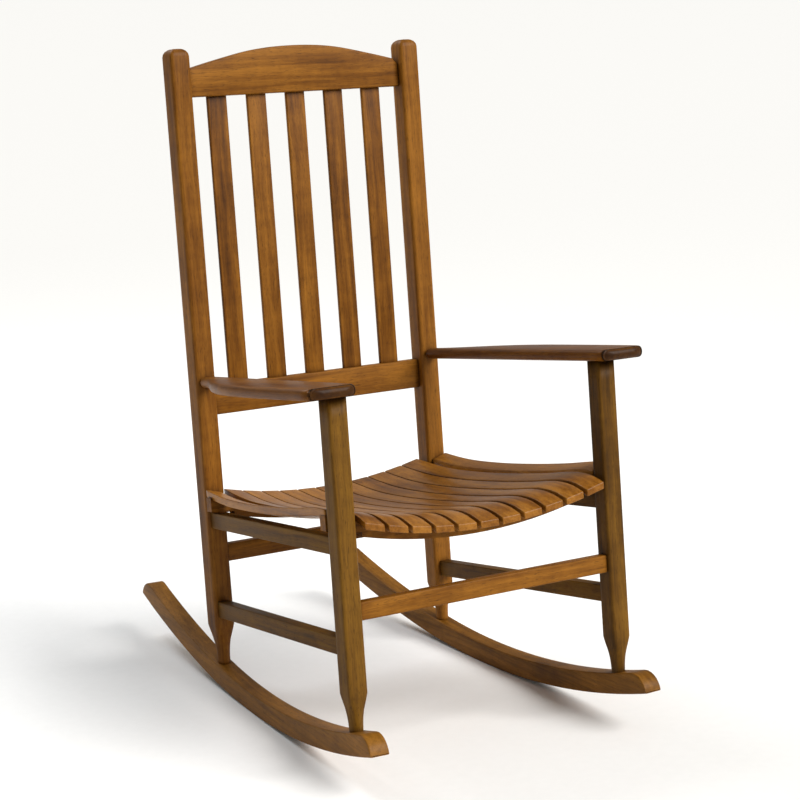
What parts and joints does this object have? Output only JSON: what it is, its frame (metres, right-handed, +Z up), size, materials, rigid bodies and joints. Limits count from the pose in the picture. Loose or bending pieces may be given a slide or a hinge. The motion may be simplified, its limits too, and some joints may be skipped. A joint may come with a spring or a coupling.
{
  "type": "rocking chair",
  "caption": "Wooden porch rocking chair with an upright slatted back, a dished slatted seat, wide flared arms and curved runners",
  "frame": {"origin": "on the floor, at the middle of the chair's overall width and length", "axes": "+Z up, -Y the way the sitter faces, +X the sitter's left"},
  "size_m": [0.655, 0.9798, 1.1417],
  "materials": {
    "frame_wood": "medium brown stained hardwood, satin clear coat",
    "seat_wood": "medium brown stained hardwood, satin, lightly polished by use",
    "rocker_wood": "medium brown stained bent hardwood, satin",
    "arm_wood": "medium brown stained hardwood, satin with a brighter sheen",
    "dowel_wood": "plain unstained hardwood dowel",
    "steel": "plain steel, dulled"
  },
  "bodies": {
    "root": {"rocker_left": "rocker_wood", "front_leg_left": "frame_wood", "rear_post_left": "frame_wood", "seat_side_rail_left": "frame_wood", "side_stretcher_left": "frame_wood", "side_slat_left": "seat_wood", "armrest_left": "arm_wood", "arm_dowel_left": "dowel_wood", "arm_screw_left": "steel", "rocker_screw_front_left": "steel", "rocker_screw_rear_left": "steel", "foot_brad_1_left": "steel", "foot_brad_2_left": "steel", "rocker_right": "rocker_wood", "front_leg_right": "frame_wood", "rear_post_right": "frame_wood", "seat_side_rail_right": "frame_wood", "side_stretcher_right": "frame_wood", "side_slat_right": "seat_wood", "armrest_right": "arm_wood", "arm_dowel_right": "dowel_wood", "arm_screw_right": "steel", "rocker_screw_front_right": "steel", "rocker_screw_rear_right": "steel", "foot_brad_1_right": "steel", "foot_brad_2_right": "steel", "front_stretcher": "frame_wood", "rear_stretcher": "frame_wood", "seat_front_rail": "frame_wood", "seat_rear_rail": "frame_wood", "crest_rail": "frame_wood", "lower_back_rail": "frame_wood", "back_slat_1": "frame_wood", "back_slat_2": "frame_wood", "back_slat_3": "frame_wood", "back_slat_4": "frame_wood", "back_slat_5": "frame_wood", "seat_slat_01": "seat_wood", "seat_slat_02": "seat_wood", "seat_slat_03": "seat_wood", "seat_slat_04": "seat_wood", "seat_slat_05": "seat_wood", "seat_slat_06": "seat_wood", "seat_slat_07": "seat_wood", "seat_slat_08": "seat_wood", "seat_slat_09": "seat_wood", "seat_slat_10": "seat_wood", "seat_slat_11": "seat_wood"}
  },
  "joints": []
}
